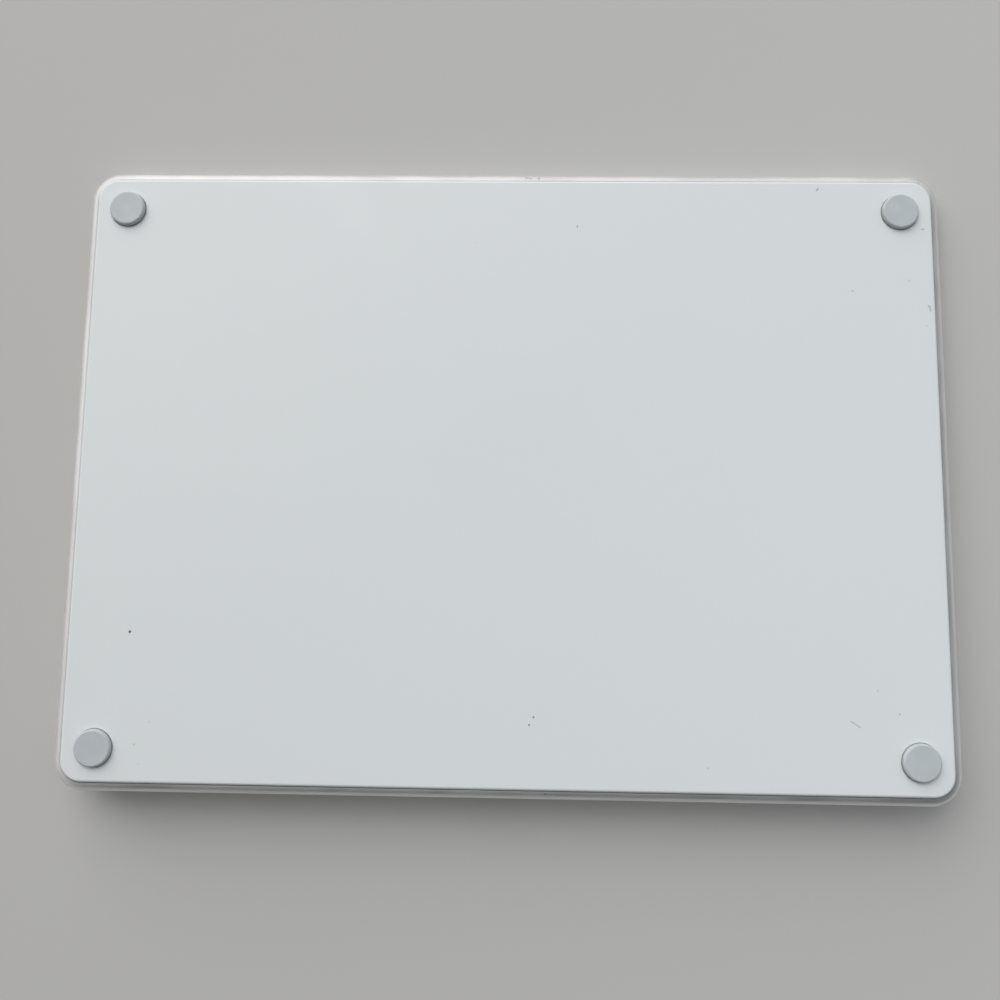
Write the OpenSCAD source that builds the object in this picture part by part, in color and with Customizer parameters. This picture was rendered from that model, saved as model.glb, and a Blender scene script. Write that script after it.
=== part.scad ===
// Wireless force-sensing trackpad: a wedge-shaped aluminium housing with a glass top,
// a white bottom cover and four sprung feet that press on strain-gauge flexures.
// X runs to the right, Y to the rear and Z up. The desk is z = 0, under the feet.

/* [Body] */
// Width from side to side
pad_w = 160; // [146:1:180]
// Depth from the front edge to the rear edge
pad_d = 114.9; // [109:0.1:126]
// Height of the front edge above the underside of the cover
body_front_h = 4; // [3.9:0.05:6]
// Height of the rear edge above the underside of the cover
body_rear_h = 10; // [9.4:0.1:13]
// Plan radius of the outer corners
corner_r = 5.6; // [5:0.1:9]

/* [Housing] */
// Thickness of the outer wall
wall_t = 2; // [1.6:0.1:2.6]
// Width of the rim of metal that shows around the cover
rim_w = 1.55; // [1.5:0.05:2]
// Rounding of the lower outer edge
rim_r = 1.4; // [1:0.05:1.45]
// How far the ledges over the cover and under the glass reach in from the outside
ledge_w = 4; // [3.5:0.1:4.6]
// Thickness of the ledge that the cover is bonded to
cover_ledge_t = 0.75; // [0.6:0.05:0.9]
// Thickness of the ledge that the glass is bonded to
glass_ledge_t = 0.8; // [0.6:0.05:1.2]
// Length of the side walls that is solid, counted from the front edge
front_rail = 32; // [24:1:40]
// Thickness of the gussets between the two ledges
gusset_t = 1.2; // [0.8:0.1:2]
// Spacing of the gussets along the side walls
gusset_pitch = 14; // [10:1:20]

/* [Cover] */
// Thickness of the bottom cover
cover_t = 0.8; // [0.7:0.05:0.95]
// How far the cover stands proud of the metal rim
cover_proud = 0.55; // [0.1:0.05:0.6]
// Gap between the cover and the rim
cover_gap = 0.1; // [0.05:0.05:0.2]
// Rounding of the cover's lower edge
cover_edge_r = 0.55; // [0.1:0.05:0.6]
// Thickness of the adhesive ring above the cover
cover_bond_t = 0.15; // [0.1:0.05:0.25]
// Thickness of the adhesive ring under the glass
glass_bond_t = 0.15; // [0.1:0.05:0.25]
// How far the adhesive stays back from the edges of its ledge
bond_margin = 0.3; // [0.2:0.05:0.5]

/* [Touch surface] */
// Thickness of the glass
glass_t = 0.9; // [0.7:0.05:1.1]
// Rounding of the upper edge of the glass
glass_edge_r = 0.25; // [0.1:0.05:0.4]
// How far the glass stays inside the outline of the housing
glass_inset = 0.1; // [0.08:0.01:0.3]
// Thickness of the touch sensor board
sensor_t = 0.4; // [0.3:0.05:0.55]
// Gap between the sensor board and the ledge
sensor_gap = 0.3; // [0.2:0.05:0.8]
// Thickness of the steel stiffener
stiffener_t = 0.5; // [0.4:0.05:0.65]
// Width of each window in the stiffener
window_w = 30; // [20:1:34]
// Depth of each window in the stiffener
window_d = 26; // [16:1:30]

/* [Feet] */
// Diameter of a foot
foot_d = 6.6; // [6:0.1:8.5]
// How far the feet stand out below the cover
foot_h = 0.9; // [0.6:0.05:1.4]
// Rounding of the lower edge of a foot
foot_edge_r = 0.6; // [0.2:0.05:0.7]
// Gap between a foot and the hole in the cover
foot_gap = 0.1; // [0.08:0.02:0.3]
// Land between a foot hole and the cover ledge
foot_land = 0.3; // [0.2:0.1:3]
// How far a foot presses in
foot_travel = 0.15; // [0.1:0.01:0.18]

/* [Flexures] */
// Thickness of the spring steel
flexure_t = 0.35; // [0.25:0.05:0.4]
// Length from the centre of the foot to the clamped base
flexure_arm = 12; // [10:0.5:15]
// Length of the clamped base
flexure_base = 9; // [8:0.5:11]
// Width of the arm under the strain gauge
flexure_neck_w = 3.6; // [2.6:0.1:5]
// Distance between the two screws of a flexure
flexure_screw_pitch = 4.6; // [3.8:0.1:5]
// Thickness of a strain gauge
gauge_t = 0.1; // [0.05:0.05:0.2]
// Thickness of the flange that carries a foot
stud_flange_t = 0.4; // [0.3:0.05:0.5]
// Thickness of the rivet head on top of a flexure
rivet_head_t = 0.2; // [0.15:0.05:0.25]
// Radius of the rivet head and of the shoulder under the flexure
rivet_head_r = 1.3; // [1:0.1:1.6]
// Radius of the rivet shank
rivet_r = 0.8; // [0.5:0.1:0.9]

/* [Screws] */
// Shank diameter of the small screws
screw_d = 1.4; // [1:0.1:1.6]
// Head diameter of the small screws
screw_head_d = 2.4; // [2:0.1:2.8]
// Head thickness of the small screws
screw_head_t = 0.4; // [0.3:0.05:0.45]
// Length of thread that is held
screw_grip = 0.5; // [0.35:0.05:0.55]
// Width of each arm of the cross in a screw head
cross_w = 0.3; // [0.2:0.05:0.4]

/* [Charge port] */
// Height of the centre of the port above the underside of the cover
port_h = 4.5; // [4.2:0.1:5]
// Outer width of the port shell
port_w = 8.4; // [7:0.1:10]
// Outer height of the port shell
port_t = 2.6; // [2.4:0.1:3]
// Wall thickness of the port shell
port_wall = 0.25; // [0.2:0.05:0.35]
// Length of the port shell
port_len = 8; // [7:0.1:9]
// Length of the moulded plug that closes the shell
port_plug_len = 2.6; // [2:0.1:3.5]
// Thickness of the moulded shelf that holds the contacts
port_shelf_t = 0.5; // [0.4:0.05:0.7]
// Number of contacts in the port
port_contacts = 8; // [4:1:8]
// Spacing of the contacts
contact_pitch = 0.7; // [0.6:0.05:0.75]

/* [Power slider] */
// How far the port mouth and the slider lie inside the rear face
rear_recess = 0.4; // [0.2:0.05:0.8]
// Length of the slider knob
knob_w = 6.5; // [5:0.1:8]
// Height of the slider knob
knob_t = 2.3; // [1.8:0.1:2.8]
// Travel of the slider
slider_travel = 2; // [1.5:0.1:2.5]
// Gap around the slider knob
knob_gap = 0.25; // [0.15:0.05:0.4]
// Thickness of the plate behind the knob
carrier_t = 0.5; // [0.4:0.05:0.7]
// Thickness of the coloured strip that shows when the pad is on
indicator_t = 0.2; // [0.1:0.05:0.3]
// Depth of the switch module
switch_d = 3; // [2.4:0.1:3.6]
// Height of the switch module
switch_h = 2.4; // [2.2:0.1:3]

/* [Electronics] */
// Thickness of the logic board
board_t = 0.8; // [0.6:0.1:1]
// Depth of the logic board
board_d = 15; // [13.5:0.5:16]
// Gap from the board to the rear wall
board_rear_gap = 1.05; // [1:0.05:1.5]
// Gap between the ends of the board and the flexures
board_end_gap = 2.5; // [1:0.1:5]
// Radius of the pillars under the board
boss_r = 2.2; // [1.8:0.1:2.6]
// Height of the shield cans
shield_h = 1.6; // [1.2:0.1:2.2]
// Sheet thickness of the shield cans
shield_wall = 0.2; // [0.15:0.05:0.3]
// Width of the can over the processor
processor_w = 16; // [12:0.5:18]
// Width of the can over the radio
radio_w = 11; // [9:0.5:13]
// Height of the board connectors
connector_h = 0.9; // [0.7:0.1:1.1]
// Length of the antenna
antenna_w = 10; // [8:0.5:12]
// Height of the antenna
antenna_h = 2.4; // [1.8:0.1:3]
// Thickness of the ribbon cables
ribbon_t = 0.2; // [0.15:0.05:0.3]
// Width of the ribbon from the touch sensor
sensor_ribbon_w = 14; // [10:1:16]
// Width of the lead from the battery
battery_lead_w = 8; // [6:0.5:10]

/* [Battery] */
// Width of the battery cell
battery_w = 118; // [96:1:124]
// Depth of the battery cell
battery_d = 36; // [28:0.5:37]
// Thickness of the battery cell
battery_t = 3.6; // [2.8:0.1:3.7]
// Rounding of the edges of the cell
battery_edge_r = 0.9; // [0.4:0.1:1.2]
// Gap between the battery and the logic board
battery_board_gap = 5.5; // [5.2:0.1:7]
// Thickness of the tape that holds the battery
tape_t = 0.15; // [0.1:0.05:0.25]
// Width of each strip of tape
tape_w = 9; // [6:0.5:12]
// Width of the guard board behind the cell
guard_w = 26; // [20:1:30]
// Depth of the guard board
guard_d = 3.2; // [2.6:0.1:3.6]

/* [Haptic actuator] */
// Width of the actuator bracket
haptic_w = 36; // [34:1:42]
// Depth of the actuator bracket
haptic_d = 36; // [34:0.5:37]
// Thickness of the bracket plate
haptic_plate_t = 0.35; // [0.3:0.05:0.45]
// Thickness of the iron cores and of the shuttle
core_t = 1.35; // [1.1:0.05:1.45]
// Depth of the iron cores
core_d = 20; // [18:0.5:21]
// Width of each leg of a core
core_leg = 3.4; // [2.8:0.1:3.8]
// Thickness of the coil around the middle leg
coil_t = 0.3; // [0.2:0.05:0.35]
// Width of the shuttle
shuttle_w = 8; // [6:0.5:9]
// How far the shuttle moves to each side
haptic_travel = 0.3; // [0.2:0.05:0.35]
// Gap left between the shuttle and a core at the end of the travel
air_gap = 0.2; // [0.15:0.05:0.3]
// Thickness of the leaf springs
spring_t = 0.2; // [0.15:0.05:0.3]
// Length of the leaf springs
spring_len = 5.4; // [4:0.1:6]
// Gap between the battery and the actuator
haptic_gap = 2; // [1:0.1:3]

/* [Hidden] */
$fn = 64;
// Spare length of a cutting solid beyond the face that it cuts
cut = 1;
// Land beside an edge or a hole, and the rounding of small pieces
land = 1;
// Room that a piece keeps from a neighbour that it doesn't touch
clear = 0.15;
// Radial room between a pin and its hole
fit = 0.05;
// Room between the small pieces on the logic board
part_gap = 2;
// Larger than the body in every direction
span = pad_w + pad_d;

// The upper surface is a plane that climbs from the front edge to the rear edge
tilt = atan((body_rear_h - body_front_h) / pad_d);
top_mid_z = foot_h + (body_front_h + body_rear_h) / 2;

// Heights, counted up from the desk
cover_top_z = foot_h + cover_t;
rim_z = foot_h + cover_proud;
ledge_z = cover_top_z + cover_bond_t;
ledge_top_z = ledge_z + cover_ledge_t;
flexure_z = cover_top_z + clear + screw_head_t;
post_z = flexure_z + flexure_t;
stud_flange_z = flexure_z - foot_travel - fit - stud_flange_t;
port_z = foot_h + port_h;
board_top_z = port_z - port_t / 2;
board_z = board_top_z - board_t;
connector_z = board_top_z + connector_h;

// Depths, counted down from the upper surface at right angles to it
glass_seat = glass_t + glass_bond_t;
glass_ledge_depth = glass_seat + glass_ledge_t;
stiffener_depth = glass_t + sensor_t;
stack_t = stiffener_depth + stiffener_t;

// Feet and flexures in plan
cover_inset = rim_w + cover_gap;
hole_r = foot_d / 2 + foot_gap;
foot_inset = ledge_w + foot_land + hole_r;
foot_x = pad_w / 2 - foot_inset;
foot_y = pad_d / 2 - foot_inset;
flange_r = foot_d / 2 - foot_gap;
flexure_reach = flexure_arm + flexure_base;
screw_hole_r = screw_d / 2 + fit;

// Rear edge in plan
rear_y = pad_d / 2;
inner_rear_y = rear_y - wall_t;
mouth_y = rear_y - rear_recess;
port_front_y = mouth_y - port_len;
board_rear_y = inner_rear_y - board_rear_gap;
board_front_y = board_rear_y - board_d;
board_w = 2 * (foot_x - flexure_reach - board_end_gap);
boss_y = board_rear_y - boss_r - 2 * clear;
board_screw_x = [
    for (s = [-1, 1]) s * (board_w / 2 - boss_r - 2 * clear),
    for (s = [-1, 1]) s * (port_w / 2 + boss_r + land)
];

// Power slider, stored at off, which is its left end
slider_x = -(board_w / 2 - 2 * boss_r - knob_w / 2 - land);
knob_x = slider_x - slider_travel / 2;
knob_slot_w = knob_w + slider_travel + 2 * knob_gap;
carrier_outer_y = inner_rear_y - indicator_t - fit;
carrier_back_y = carrier_outer_y - carrier_t;
carrier_w = knob_w + 2 * slider_travel + land;
carrier_h = knob_t + 2 * knob_gap + land;
prong_w = 1.6;
prong_t = 1;
prong_len = 1;
switch_rear_y = carrier_back_y - clear;
switch_w = prong_w + slider_travel + 4 * land;

// Pieces on the front part of the board, set out from its right end
shield_d = port_front_y - board_front_y - part_gap;
shield_y = board_front_y + part_gap / 2 + shield_d / 2;
radio_x = board_w / 2 - part_gap - radio_w / 2;
battery_plug_w = battery_lead_w + part_gap;
battery_lead_x = radio_x - radio_w / 2 - part_gap - battery_plug_w / 2;
processor_x = battery_lead_x - battery_plug_w / 2 - part_gap - processor_w / 2;
sensor_plug_w = sensor_ribbon_w + part_gap;
sensor_ribbon_x = processor_x - processor_w / 2 - part_gap - sensor_plug_w / 2;
antenna_x = sensor_ribbon_x - sensor_plug_w / 2 - part_gap - antenna_w / 2;
connector_d = 3.4;
connector_y = board_front_y + part_gap / 2 + connector_d / 2;
chip_w = 3;
chip_h = 0.7;
chip_pitch = 5;

// Battery and haptic actuator, hung under the stiffener
battery_rear_y = board_front_y - battery_board_gap;
battery_y = battery_rear_y - battery_d / 2;
seal_t = 0.4;
seal_d = 2;
guard_t = 0.8;
guard_y = battery_rear_y + clear + guard_d / 2;
guard_depth = tape_t + clear;
sensor_ribbon_y = battery_rear_y + battery_board_gap / 2;
haptic_y = battery_y - battery_d / 2 - haptic_gap - haptic_d / 2;
haptic_post_d = 1.6;
shuttle_d = haptic_d - 2 * (spring_len + haptic_post_d) - land;
core_x = shuttle_w / 2 + haptic_travel + air_gap;
core_back = 3;
core_leg_len = haptic_w / 2 - land / 2 - core_back - core_x;
coil_side = 1.2;

// Name of each corner, with the signs of its x and y
CORNERS = [
    ["front_left", -1, -1],
    ["front_right", 1, -1],
    ["rear_left", -1, 1],
    ["rear_right", 1, 1]
];

// Height at y of the plane that lies this depth under the upper surface
function deck_z(y, depth) = top_mid_z + y * tan(tilt) - depth / cos(tilt);

// Distance from a foot to one of the two screws of its flexure
function flexure_screw_x(i) = flexure_arm + flexure_base / 2 + (i - 0.5) * flexure_screw_pitch;

// Rectangle with round corners, centred
module rounded_rect(w, d, r) {
    square([w - 2 * r, d], center = true);
    square([w, d - 2 * r], center = true);
    for (sx = [-1, 1], sy = [-1, 1])
        translate([sx * (w / 2 - r), sy * (d / 2 - r)]) circle(r);
}

// Slot shape with half-round ends, centred
module stadium(w, h) {
    square([w - h, h], center = true);
    for (s = [-1, 1]) translate([s * (w - h) / 2, 0]) circle(h / 2);
}

// Plan outline of the body, drawn in by an inset
module outline(inset) rounded_rect(pad_w - 2 * inset, pad_d - 2 * inset, corner_r - inset);

// The same outline laid out along the sloping upper surface
module deck_outline(inset)
    rounded_rect(pad_w - 2 * inset, (pad_d - 2 * inset) / cos(tilt), max(corner_r - inset, land / 2));

// What a rounding of radius r takes off a lower right edge at the origin
module edge_waste(r) difference() {
    translate([-r, -cut]) square([r + cut, r + cut]);
    translate([-r, r]) circle(r);
}

// What a rounding of radius r takes off the lower edge of a rounded block
module edge_relief(w, d, rc, r) {
    for (m = [0, 1]) mirror([m, 0, 0]) translate([w / 2, 0, 0]) rotate([90, 0, 0])
        linear_extrude(d - 2 * rc, center = true) edge_waste(r);
    for (m = [0, 1]) mirror([0, m, 0]) translate([0, d / 2, 0]) rotate([90, 0, 90])
        linear_extrude(w - 2 * rc, center = true) edge_waste(r);
    for (mx = [0, 1], my = [0, 1]) mirror([mx, 0, 0]) mirror([0, my, 0])
        translate([w / 2 - rc, d / 2 - rc, 0])
            rotate_extrude(angle = 90) translate([rc, 0]) edge_waste(r);
}

// Block with round corners and a rounded lower edge
module soft_block(w, d, rc, h, r) difference() {
    linear_extrude(h) rounded_rect(w, d, rc);
    edge_relief(w, d, rc, r);
}

// Moves its children onto the plane at a depth under the upper surface
module on_deck(depth) translate([0, 0, top_mid_z]) rotate([tilt, 0, 0])
    translate([0, 0, -depth]) children();

// Everything above the plane at a depth under the upper surface
module above_deck(depth) on_deck(depth)
    translate([-span, -span, 0]) cube([2 * span, 2 * span, span]);

// Moves its children under the stiffener, with their z pointing down
module hung(x, y) on_deck(stack_t) translate([x, y / cos(tilt), 0]) mirror([0, 0, 1]) children();

// Moves its children to a foot, with their x and y pointing to the middle of the pad
module at_foot(c) translate([c[1] * foot_x, c[2] * foot_y, 0])
    mirror([c[1] > 0 ? 1 : 0, 0, 0]) mirror([0, c[2] > 0 ? 1 : 0, 0]) children();

// Pushes a shape, drawn as seen from the front, forwards from y by a length
module forwards(x, y, z, len) translate([x, y, z]) rotate([90, 0, 0]) linear_extrude(len) children();

// Screw that points up, with the seat of its head at z = 0 and a cross cut in the head
module screw(len) {
    difference() {
        translate([0, 0, -screw_head_t]) cylinder(h = screw_head_t, d = screw_head_d);
        for (turn = [0, 90]) rotate([0, 0, turn]) translate([0, 0, -screw_head_t - cut])
            linear_extrude(screw_head_t / 2 + cut) square([screw_d, cross_w], center = true);
    }
    cylinder(h = len, d = screw_d);
}

// Ribbon that drops from a height at y and bends back to lie along a connector
module ribbon(x, y, w, top_z) {
    bend_r = min(connector_h + ribbon_t, (top_z - connector_z) / 2);
    translate([x, y, connector_z]) rotate([90, 0, 90]) linear_extrude(w, center = true) {
        translate([0, bend_r]) square([ribbon_t, top_z - connector_z - bend_r]);
        translate([bend_r, 0]) square([connector_y - y - bend_r, ribbon_t]);
        translate([bend_r, bend_r]) intersection() {
            difference() {
                circle(bend_r);
                circle(bend_r - ribbon_t);
            }
            translate([-bend_r, -bend_r]) square(bend_r);
        }
    }
}

// Solid column over the base of a flexure, grown from the front or rear wall
module flexure_post(c) at_foot(c)
    translate([flexure_arm + 2 * clear, wall_t / 2 - foot_inset, post_z])
        cube([flexure_base - 4 * clear, foot_inset - wall_t / 2 + flange_r, span]);

// Pillar under a corner of the logic board, tied to the rear ledge
module board_boss(x) translate([x, boss_y, ledge_z]) difference() {
    union() {
        cylinder(h = board_z - ledge_z, r = boss_r);
        translate([-boss_r, 0, 0])
            cube([2 * boss_r, inner_rear_y - boss_y + wall_t / 2, cover_ledge_t]);
    }
    translate([0, 0, board_z - ledge_z - screw_grip - fit])
        cylinder(h = screw_grip + fit + cut, r = screw_hole_r);
}

// Webs that tie the two ledges together along the side walls
module gussets() {
    first = front_rail + gusset_pitch / 2 - pad_d / 2;
    last = foot_y - flange_r - gusset_t;
    for (y = [first : gusset_pitch : last], m = [0, 1]) mirror([m, 0, 0])
        translate([pad_w / 2 - ledge_w, y, ledge_z]) cube([ledge_w - wall_t / 2, gusset_t, span]);
}

// Wall with a ledge at its foot and another under the glass
module wall_ring() difference() {
    translate([0, 0, rim_z]) soft_block(pad_w, pad_d, corner_r, span, rim_r);
    linear_extrude(2 * span) outline(ledge_w);
    difference() {
        translate([0, 0, ledge_top_z]) linear_extrude(span) outline(wall_t);
        above_deck(glass_ledge_depth);
        translate([-span, -span, 0]) cube([2 * span, span - pad_d / 2 + front_rail, span]);
    }
}

module housing() color("silver") difference() {
    union() {
        wall_ring();
        gussets();
        for (c = CORNERS) flexure_post(c);
        for (x = board_screw_x) board_boss(x);
    }
    // Seat of the bottom cover
    translate([0, 0, -cut]) linear_extrude(ledge_z + cut) outline(rim_w);
    // Seat of the glass, and room for the boards under it
    above_deck(glass_seat);
    intersection() {
        linear_extrude(2 * span) outline(ledge_w);
        above_deck(stack_t + clear);
    }
    for (c = CORNERS, i = [0, 1]) at_foot(c) translate([flexure_screw_x(i), 0, post_z - cut])
        cylinder(h = screw_grip + fit + cut, r = screw_hole_r);
    // Mouths of the charge port and of the power slider
    forwards(0, rear_y + cut, port_z, wall_t + 2 * cut)
        stadium(port_w + 2 * clear, port_t + 2 * clear);
    forwards(slider_x, rear_y + cut, port_z, wall_t + 2 * cut)
        stadium(knob_slot_w, knob_t + 2 * knob_gap);
}

module bottom_cover() color("whitesmoke") difference() {
    translate([0, 0, foot_h])
        soft_block(
            pad_w - 2 * cover_inset, pad_d - 2 * cover_inset,
            corner_r - cover_inset, cover_t, cover_edge_r
        );
    for (c = CORNERS) at_foot(c) translate([0, 0, foot_h - cut])
        cylinder(h = cover_t + 2 * cut, r = hole_r);
}

module cover_adhesive() color("gainsboro") translate([0, 0, cover_top_z])
    linear_extrude(cover_bond_t) difference() {
        outline(cover_inset + bond_margin);
        outline(ledge_w - bond_margin);
    }

module top_glass() color("white") on_deck(0) mirror([0, 0, 1])
    soft_block(
        pad_w - 2 * glass_inset, (pad_d - 2 * glass_inset) / cos(tilt),
        corner_r - glass_inset, glass_t, glass_edge_r
    );

module glass_adhesive() color("gainsboro") on_deck(glass_seat) linear_extrude(glass_bond_t)
    difference() {
        deck_outline(glass_inset + bond_margin);
        deck_outline(ledge_w - bond_margin);
    }

module touch_sensor_board() color("darkgreen") on_deck(stiffener_depth)
    linear_extrude(sensor_t) deck_outline(ledge_w + sensor_gap);

// Steel plate with a window on each side of the actuator and a slot for the ribbon
module stiffener_plate() color("slategray") on_deck(stack_t) linear_extrude(stiffener_t)
    difference() {
        deck_outline(ledge_w + 2 * sensor_gap);
        for (s = [-1, 1]) translate([s * (pad_w + haptic_w) / 4, haptic_y])
            rounded_rect(window_w, window_d, corner_r);
        translate([sensor_ribbon_x, sensor_ribbon_y / cos(tilt)])
            stadium(sensor_ribbon_w + part_gap, part_gap);
    }

// Round pad whose lower edge is rounded over, glued to the flange of its stud
module foot(c) color("darkgray") at_foot(c) rotate_extrude() {
    square([foot_d / 2 - foot_edge_r, stud_flange_z]);
    translate([0, foot_edge_r]) square([foot_d / 2, stud_flange_z - foot_edge_r]);
    translate([foot_d / 2 - foot_edge_r, foot_edge_r]) circle(foot_edge_r);
}

// Turned stud: a flange over the pad, a shoulder, a shank through the flexure and a rivet head
module foot_stud(c) color("lightsteelblue") at_foot(c) translate([0, 0, stud_flange_z]) {
    cylinder(h = stud_flange_t, r = flange_r);
    cylinder(h = flexure_z - stud_flange_z, r = rivet_head_r);
    cylinder(h = post_z - stud_flange_z + rivet_head_t, r = rivet_r);
    translate([0, 0, post_z - stud_flange_z]) cylinder(h = rivet_head_t, r = rivet_head_r);
}

// Spring-steel tab: an eye at the foot, a neck for the strain gauge and a base with two holes
module flexure(c) color("steelblue") at_foot(c) translate([0, 0, flexure_z])
    linear_extrude(flexure_t) difference() {
        union() {
            circle(flange_r);
            translate([0, -flexure_neck_w / 2]) square([flexure_arm + land, flexure_neck_w]);
            translate([flexure_arm + flexure_base / 2, 0])
                rounded_rect(flexure_base, 2 * flange_r, land);
        }
        circle(rivet_r + fit);
        for (i = [0, 1]) translate([flexure_screw_x(i), 0]) circle(screw_hole_r);
    }

// Foil gauge on the neck of each flexure
module strain_gauges() color("orange") for (c = CORNERS) at_foot(c)
    translate([(flange_r + flexure_arm) / 2, 0, post_z]) linear_extrude(gauge_t)
        square([flexure_arm - flange_r - land, flexure_neck_w - land], center = true);

module flexure_screws() color("dimgray") for (c = CORNERS, i = [0, 1]) at_foot(c)
    translate([flexure_screw_x(i), 0, flexure_z]) screw(flexure_t + screw_grip);

// Board with its soldered chips along the left part of its front edge
module logic_board() color("seagreen") {
    translate([0, 0, board_z]) linear_extrude(board_t) difference() {
        translate([0, (board_front_y + board_rear_y) / 2]) rounded_rect(board_w, board_d, land);
        for (x = board_screw_x) translate([x, boss_y]) circle(screw_hole_r);
    }
    for (x = [chip_pitch - board_w / 2 : chip_pitch : antenna_x - antenna_w / 2 - chip_w])
        translate([x, connector_y, board_z]) linear_extrude(board_t + chip_h)
            square(chip_w, center = true);
}

module board_screws() color("dimgray") for (x = board_screw_x)
    translate([x, boss_y, board_top_z]) mirror([0, 0, 1]) screw(board_t + screw_grip);

// Pressed sheet can with an open underside and a row of vent holes
module shield(x, w) translate([x, shield_y, board_top_z]) difference() {
    linear_extrude(shield_h) rounded_rect(w, shield_d, 2 * shield_wall);
    translate([0, 0, -cut]) linear_extrude(shield_h - shield_wall + cut)
        square([w - 2 * shield_wall, shield_d - 2 * shield_wall], center = true);
    for (hole = [part_gap - w / 2 : part_gap : w / 2 - land]) translate([hole, 0, 0])
        cylinder(h = shield_h + cut, d = land);
}

module processor_shield() color("lightgray") shield(processor_x, processor_w);

module radio_shield() color("lightgray") shield(radio_x, radio_w);

// Low sockets that the two ribbons press into
module board_connectors() color("black")
    for (p = [[sensor_ribbon_x, sensor_plug_w], [battery_lead_x, battery_plug_w]])
        translate([p[0] - p[1] / 2, connector_y - connector_d / 2, board_top_z])
            cube([p[1], connector_d, connector_h]);

// Folded strip that stands on two feet
module antenna() color("goldenrod") translate([antenna_x, connector_y, board_top_z])
    rotate([90, 0, 0]) linear_extrude(2 * shield_wall, center = true) difference() {
        translate([-antenna_w / 2, 0]) square([antenna_w, antenna_h]);
        translate([land - antenna_w / 2, -land]) square([antenna_w / 2 - land, antenna_h]);
        translate([land, -land]) square([antenna_w / 2, antenna_h]);
    }

module charge_port_shell() color("gainsboro") forwards(0, mouth_y, port_z, port_len) difference() {
    stadium(port_w, port_t);
    stadium(port_w - 2 * port_wall, port_t - 2 * port_wall);
}

// Plug that closes the shell, with a shelf along the floor of the mouth
module charge_port_insulator() color("dimgray") {
    inner_w = port_w - 2 * port_wall - 2 * fit;
    inner_t = port_t - 2 * port_wall - 2 * fit;
    forwards(0, port_front_y + port_plug_len, port_z, port_plug_len) stadium(inner_w, inner_t);
    forwards(0, mouth_y - land, port_z, port_len - land) intersection() {
        stadium(inner_w, inner_t);
        translate([-inner_w / 2, -inner_t / 2]) square([inner_w, port_shelf_t]);
    }
}

module charge_port_contacts() color("gold")
    for (i = [0 : port_contacts - 1])
        translate([
            (i - (port_contacts - 1) / 2) * contact_pitch - contact_pitch / 4,
            port_front_y + port_plug_len,
            port_z - port_t / 2 + port_wall + fit + port_shelf_t
        ]) cube([contact_pitch / 2, port_len - port_plug_len - 2 * land, clear]);

// Pouch cell with rounded edges and a folded seal along its rear edge
module battery_cell() color("dimgray") hung(0, battery_y) {
    translate([0, 0, tape_t]) difference() {
        soft_block(battery_w, battery_d, part_gap, battery_t, battery_edge_r);
        translate([0, 0, battery_t]) mirror([0, 0, 1])
            edge_relief(battery_w, battery_d, part_gap, battery_edge_r);
    }
    translate([-battery_w / 2 + guard_w / 2, battery_d / 2 - land, tape_t + battery_t / 2])
        cube([battery_w / 2 - guard_w, seal_d, seal_t]);
}

module battery_tape() color("ivory") hung(0, battery_y) for (s = [-1, 1])
    translate([0, s * (battery_d / 2 - tape_w), 0]) linear_extrude(tape_t)
        square([battery_w - 2 * tape_w, tape_w], center = true);

module battery_guard_board() color("darkgreen") hung(battery_lead_x, guard_y)
    translate([0, 0, guard_depth]) linear_extrude(guard_t)
        rounded_rect(guard_w, guard_d, land / 2);

module battery_lead() color("darkorange")
    ribbon(
        battery_lead_x, guard_y, battery_lead_w,
        deck_z(guard_y - guard_d / 2, stack_t + guard_depth + guard_t)
    );

module sensor_ribbon() color("darkorange")
    ribbon(
        sensor_ribbon_x, sensor_ribbon_y, sensor_ribbon_w,
        deck_z(sensor_ribbon_y, stiffener_depth)
    );

// Plate with an upright wall at each end that holds the leaf springs
module haptic_bracket() color("lightgray") hung(0, haptic_y) {
    linear_extrude(haptic_plate_t) rounded_rect(haptic_w, haptic_d, part_gap);
    for (m = [0, 1]) mirror([0, m, 0])
        translate([-shuttle_w / 2, (haptic_d - land) / 2 - haptic_post_d, 0])
            cube([shuttle_w, haptic_post_d, haptic_plate_t + core_t]);
}

// Moves its children to the two cores, with x pointing away from the shuttle
module at_cores() for (m = [0, 1]) hung(0, haptic_y) mirror([m, 0, 0])
    translate([core_x, 0, haptic_plate_t]) children();

// E-shaped iron core with a thin middle leg that passes through its coil
module haptic_cores() color("gray") at_cores() {
    translate([core_leg_len, -core_d / 2, 0]) cube([core_back, core_d, core_t]);
    for (s = [-1, 1])
        translate([0, s * (core_d - core_leg) / 2 - core_leg / 2, 0])
            cube([core_leg_len + land, core_leg, core_t]);
    translate([0, -core_leg / 2, coil_t + fit])
        cube([core_leg_len + land, core_leg, core_t - 2 * coil_t - 2 * fit]);
}

module haptic_coils() color("peru") at_cores() translate([land, 0, core_t / 2])
    rotate([90, 0, 90]) linear_extrude(core_leg_len - 2 * land) difference() {
        rounded_rect(core_leg + 2 * coil_side, core_t, coil_t);
        square([core_leg + 2 * fit, core_t - 2 * coil_t], center = true);
    }

// Iron bar between the cores, held clear of the bracket by its springs
module haptic_shuttle() color("darkgray") hung(0, haptic_y)
    translate([0, 0, haptic_plate_t + clear]) linear_extrude(core_t - 2 * clear)
        rounded_rect(shuttle_w, shuttle_d, land);

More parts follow.
